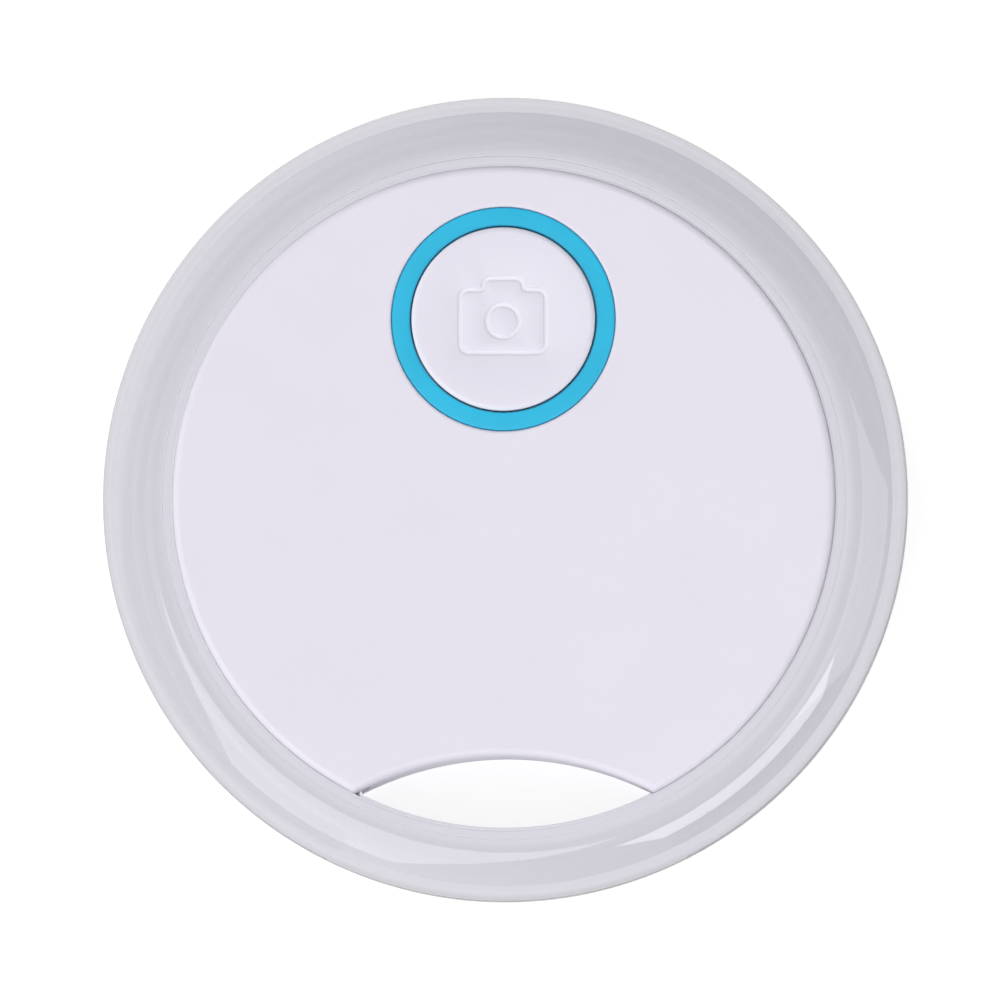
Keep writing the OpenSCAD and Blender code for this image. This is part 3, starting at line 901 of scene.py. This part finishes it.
def package(low, high, soft, dimple_r, dimple_deep):
    """A chip's body with softened edges and a round dimple near one upper corner."""
    shell = bmesh.new()
    corners = [(low.x, low.y, soft), (high.x, low.y, soft), (high.x, high.y, soft), (low.x, high.y, soft)]
    outline = rounded_outline(corners, 0, 3)
    inset = rounded_outline(corners, -soft / 2, 3)
    rings = [[shell.verts.new((p.x, p.y, z)) for p in points]
             for points, z in ((outline, low.z), (outline, high.z - soft / 2), (inset, high.z))]
    for below, above in zip(rings, rings[1:]):
        for i in range(len(below)):
            j = (i + 1) % len(below)
            shell.faces.new((below[i], below[j], above[j], above[i]))
    spot = Vector((low.x + 3 * dimple_r, high.y - 3 * dimple_r, 0))
    dimple = spun(shell, [(dimple_r, high.z), (dimple_r * 0.85, high.z - dimple_deep)], spot, 24)
    shell.faces.new(dimple[-1])
    filled(shell, rings[-1], dimple[0])
    filled(shell, rings[0])
    mesh = bpy.data.meshes.new("chip_package")
    shell.to_mesh(mesh)
    shell.free()
    return mesh


chip = link("radio_chip_package", package(
    chip_low, chip_high, soft=0.12 * MM, dimple_r=0.25 * MM, dimple_deep=0.04 * MM))
chip.data.materials.append(moulded_epoxy())
smooth(turn_outwards(chip), 35)
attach(chip, "case")
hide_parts("bluetooth_chip")

pads_a_side = 8
pad_pitch = 0.5 * MM
pad_size = (0.3 * MM, 0.26 * MM, 0.06 * MM)
pad_soft = 0.012 * MM
chip_middle = (chip_low + chip_high) / 2
chip_half = (chip_high.x - chip_low.x) / 2
pad_places = []
for side in range(4):
    turn = side * pi / 2
    for i in range(pads_a_side):
        along = (i - (pads_a_side - 1) / 2) * pad_pitch
        x = chip_half * cos(turn) - along * sin(turn)
        y = chip_half * sin(turn) + along * cos(turn)
        pad_places.append((chip_middle.x + x, chip_middle.y + y, board_top, turn))
pads = copies("radio_chip_pads", block("pad", pad_size, pad_soft), pad_places, tin)


# ---- Crystal, antenna and small components ---------------------------------------------------------
# The clock crystal is a ceramic tray under a seam-welded metal lid. The antenna is a fired ceramic
# bar with silvered ends, and the small resistors and capacitors have tinned end caps.

def two_level(name, low_colour, high_colour, level):
    """Ceramic below a height and metal above it."""
    finish = Finish(name, 0.4)
    height = finish.node("ShaderNodeSeparateXYZ")
    finish.tree.links.new(finish.place, height.inputs["Vector"])
    above = finish.ramp(height.outputs["Z"], 0, 1, level, level + 0.01 * MM)
    finish.colour(above, low_colour, high_colour)
    finish.tree.links.new(finish.ramp(above, 0, 1), finish.shader.inputs["Metallic"])
    grain = finish.noise(0.08 * MM, detail=2.0)
    finish.rough(grain, 0.28, 0.42)
    finish.bump(grain, 0.0012 * MM)
    return finish.material


crystal_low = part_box("crystal")[0]
tray_tall = 0.3 * MM
resurface("crystal", two_level(
    "crystal_tray_and_lid", (0.045, 0.04, 0.035), (0.72, 0.70, 0.66), crystal_low.z + tray_tall))


def fired_ceramic(name, colour, roughness=0.45):
    """Fine-grained ceramic with a faint speckle."""
    finish = Finish(name, roughness, Specular_IOR_Level=0.6)
    speckle = finish.noise(0.12 * MM, detail=3.0)
    finish.colour(finish.ramp(speckle, 0, 1, 0.35, 0.7), colour, tuple(0.82 * c for c in colour))
    finish.rough(speckle, roughness - 0.08, roughness + 0.08)
    finish.bump(speckle, 0.0015 * MM)
    return finish.material


def end_cap_places(node, cap):
    """Where the end caps of each long solid in a node go, and which way they face."""
    places = []
    for low, high in solids_of(node):
        middle = (low + high) / 2
        reach = high - low
        along_x = reach.x > reach.y
        half = max(reach.x, reach.y) / 2 - cap / 2
        for side in (-1, 1):
            shift = Vector((side * half, 0, 0)) if along_x else Vector((0, side * half, 0))
            places.append((*(middle + shift)[:2], low.z, 0 if along_x else pi / 2))
    return places


resurface("chip_antenna", fired_ceramic("antenna_ceramic", (0.70, 0.70, 0.62)))
antenna_cap = 0.7 * MM
proud = 0.015 * MM
cap_round = 0.03 * MM
antenna_size = antenna_high - antenna_low
antenna_cap_size = (antenna_cap, antenna_size.x + 2 * proud, antenna_size.z + proud)
antenna_ends = copies(
    "antenna_end_caps", block("antenna_cap", antenna_cap_size, cap_round),
    end_cap_places("chip_antenna", antenna_cap), tin)

resurface("chip_components", fired_ceramic("component_ceramic", (0.26, 0.17, 0.10)))
component_cap = 0.24 * MM
component_w = 0.5 * MM
component_h = 0.35 * MM
component_cap_size = (component_cap + proud, component_w + 2 * proud, component_h + proud)
component_ends = copies(
    "component_end_caps", block("component_cap", component_cap_size, cap_round),
    end_cap_places("chip_components", component_cap), tin)


# ---- Push switch -----------------------------------------------------------------------------------
# A nylon base holds a snap dome of spring steel, with a white plunger above it. The stamped cover is
# staked over the base, and four tinned legs are soldered to the board.

def moulded_nylon(name, colour, roughness=0.5):
    """Smooth moulded plastic with faint flow patches."""
    finish = Finish(name, roughness)
    flow = finish.noise(0.3 * MM, detail=3.0)
    finish.colour(finish.ramp(flow, 0, 1, 0.35, 0.7), colour, tuple(0.85 * c for c in colour))
    finish.rough(flow, roughness - 0.06, roughness + 0.08)
    finish.bump(finish.noise(0.06 * MM, detail=2.0), 0.0015 * MM)
    return finish.material


resurface("switch_base", moulded_nylon("black_nylon", (0.02, 0.02, 0.022)))
resurface("switch_plunger", moulded_nylon("white_acetal", (0.80, 0.80, 0.75), roughness=0.38))
resurface("switch_cover", plated_steel("cover_steel", (0.62, 0.61, 0.59), roughness=0.3))

dome = as_moulded("switch_dome", "snap_dome")
dome.data.materials.append(plated_steel("spring_steel", (0.64, 0.61, 0.56), roughness=0.18))
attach(dome, "case")
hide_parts("switch_dome")
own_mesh(dome)

switch_middle = (switch_low + switch_high) / 2
leg_size = (0.6 * MM, 0.5 * MM, 0.15 * MM)
leg_soft = 0.03 * MM
leg_out = switch_high.x - switch_middle.x + 0.2 * MM
leg_apart = 1.5 * MM
leg_places = [(switch_middle.x + sx * leg_out, switch_middle.y + sy * leg_apart, board_top, 0)
              for sx in (-1, 1) for sy in (-1, 1)]
legs = copies("switch_legs", block("leg", leg_size, leg_soft), leg_places, tin)


# ---- Cell contacts ---------------------------------------------------------------------------------
# Leaves of gold-flashed spring bronze, soldered to the underside of the board. One presses on the
# side of the coin cell and the other on its cap.

def spring_bronze():
    """Spring bronze under a thin flash of gold that lets the darker metal through."""
    finish = Finish("gold_flashed_bronze", 0.25, Metallic=1.0)
    rolled = finish.noise(0.5 * MM, detail=4.0)
    finish.colour(finish.ramp(rolled, 0, 1, 0.3, 0.7), (0.80, 0.58, 0.26), (0.66, 0.46, 0.20))
    finish.rough(rolled, 0.18, 0.34)
    finish.bump(finish.noise(0.05 * MM), 0.001 * MM)
    return finish.material


bronze = spring_bronze()
resurface("positive_contact", bronze)
resurface("negative_contact", bronze)


# ---- Coin cell -------------------------------------------------------------------------------------
# A pressed stainless can, with its rim crimped over a plastic gasket on a smaller cap. The core is
# the lithium disc, separator and pellet sealed between them.

def turned_steel(name, centre_y):
    """Stainless steel with fine circular brushing about the cell's middle."""
    finish = Finish(name, 0.28, Metallic=1.0)
    colour = (0.66, 0.65, 0.63)
    shift = finish.node("ShaderNodeMapping")
    shift.inputs["Location"].default_value = (0, -centre_y, 0)
    rings = finish.node("ShaderNodeTexWave", wave_type="RINGS", rings_direction="Z")
    rings.inputs["Scale"].default_value = 900
    rings.inputs["Distortion"].default_value = 1.5
    finish.tree.links.new(finish.place, shift.inputs["Vector"])
    finish.tree.links.new(shift.outputs["Vector"], rings.inputs["Vector"])
    stain = finish.noise(3 * MM, detail=3.0)
    finish.colour(finish.ramp(stain, 0, 1, 0.35, 0.7), colour, tuple(0.9 * c for c in colour))
    finish.rough(rings.outputs["Fac"], 0.2, 0.34)
    finish.bump(rings.outputs["Fac"], 0.0008 * MM)
    return finish.material


cell_low, cell_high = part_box("battery_can")
cell_steel = turned_steel("stainless_can", (cell_low.y + cell_high.y) / 2)
resurface("battery_can", cell_steel)
resurface("battery_cap", cell_steel)
resurface("battery_gasket", moulded_nylon("gasket_polypropylene", (0.03, 0.03, 0.036), roughness=0.45))
resurface("battery_core", fired_ceramic("pressed_pellet", (0.05, 0.05, 0.054), roughness=0.75))


# ---- Sounder ---------------------------------------------------------------------------------------
# A thin brass disc carries a silvered piezo element. A ring of tape bonds it under the face, so the
# face is its soundboard, and two spring fingers from the board feed it.

resurface("piezo_plate", plated_steel("rolled_brass", (0.78, 0.55, 0.22), roughness=0.3))
resurface("piezo_ceramic", fired_ceramic("silvered_piezo", (0.74, 0.73, 0.68), roughness=0.35))
resurface("piezo_adhesive", fired_ceramic("adhesive_tape", (0.80, 0.77, 0.66), roughness=0.7))
resurface("piezo_contacts", bronze)


# ---- Floor and light -------------------------------------------------------------------------------
# A plain white table top and a key light behind the button. Two soft lights beyond the key eye and a
# tall panel on the right draw bands along the clear ring, in a white surround that fades to the right.

floor_mesh = bpy.data.meshes.new("table_top")
reach = 2.0
under = -0.02 * MM
floor_mesh.from_pydata(
    [(-reach, -reach, under), (reach, -reach, under), (reach, reach, under), (-reach, reach, under)],
    [], [(0, 1, 2, 3)])
floor = link("table_top", floor_mesh)
table = Finish("table_white", 0.6)
table.shader.inputs["Base Color"].default_value = (0.35, 0.35, 0.35, 1)
table.shader.inputs["Emission Color"].default_value = (1, 1, 1, 1)
table.shader.inputs["Emission Strength"].default_value = 0.8
floor.data.materials.append(table.material)


def softbox(name, azimuth, height, distance, size, glow, seen_in_gloss=True):
    """A rectangular soft light that faces the tag, placed by its angle round from +X and its height angle.

    `glow` is its radiance. It isn't seen through the clear ring, and may be kept out of reflections."""
    light = bpy.data.lights.new(name, "AREA")
    light.shape = "RECTANGLE"
    light.size, light.size_y = size
    light.energy = glow * pi * light.size * light.size_y
    lamp = bpy.data.objects.new(name, light)
    scene.collection.objects.link(lamp)
    turn, rise = radians(azimuth), radians(height)
    facing = Vector((cos(rise) * cos(turn), cos(rise) * sin(turn), sin(rise)))
    lamp.location = facing * distance
    lamp.rotation_euler = facing.to_track_quat("Z", "Y").to_euler()
    lamp.visible_glossy = seen_in_gloss
    lamp.visible_transmission = False


softbox("key_softbox", 115, 50, distance=1.0, size=(0.3, 0.3), glow=9.6, seen_in_gloss=False)
softbox("left_softbox", 236, 50, distance=0.6, size=(0.34, 0.66), glow=1.3)
softbox("right_softbox", 312, 46, distance=0.6, size=(0.32, 0.24), glow=2.4)
softbox("right_fill", 340, 20, distance=0.9, size=(0.5, 0.3), glow=3.0, seen_in_gloss=False)
softbox("right_panel", 350, 42, distance=0.9, size=(0.5, 1.0), glow=0.9)

world = bpy.data.worlds.new("white_surround")
scene.world = world
world.use_nodes = True
surround = world.node_tree
backdrop = surround.nodes["Background"]
backdrop.inputs["Color"].default_value = (1, 1, 1, 1)
to_the_left = surround.nodes.new("ShaderNodeVectorMath")
to_the_left.operation = "DOT_PRODUCT"
to_the_left.inputs[1].default_value = (-0.95, -0.3, 0)
fall_off = surround.nodes.new("ShaderNodeMapRange")
fall_off.inputs["From Min"].default_value = -0.35
fall_off.inputs["From Max"].default_value = 0.65
fall_off.inputs["To Min"].default_value = 0.08
fall_off.inputs["To Max"].default_value = 1.05
sky = surround.nodes.new("ShaderNodeTexCoord")
surround.links.new(sky.outputs["Generated"], to_the_left.inputs[0])
surround.links.new(to_the_left.outputs["Value"], fall_off.inputs["Value"])
surround.links.new(fall_off.outputs["Result"], backdrop.inputs["Strength"])
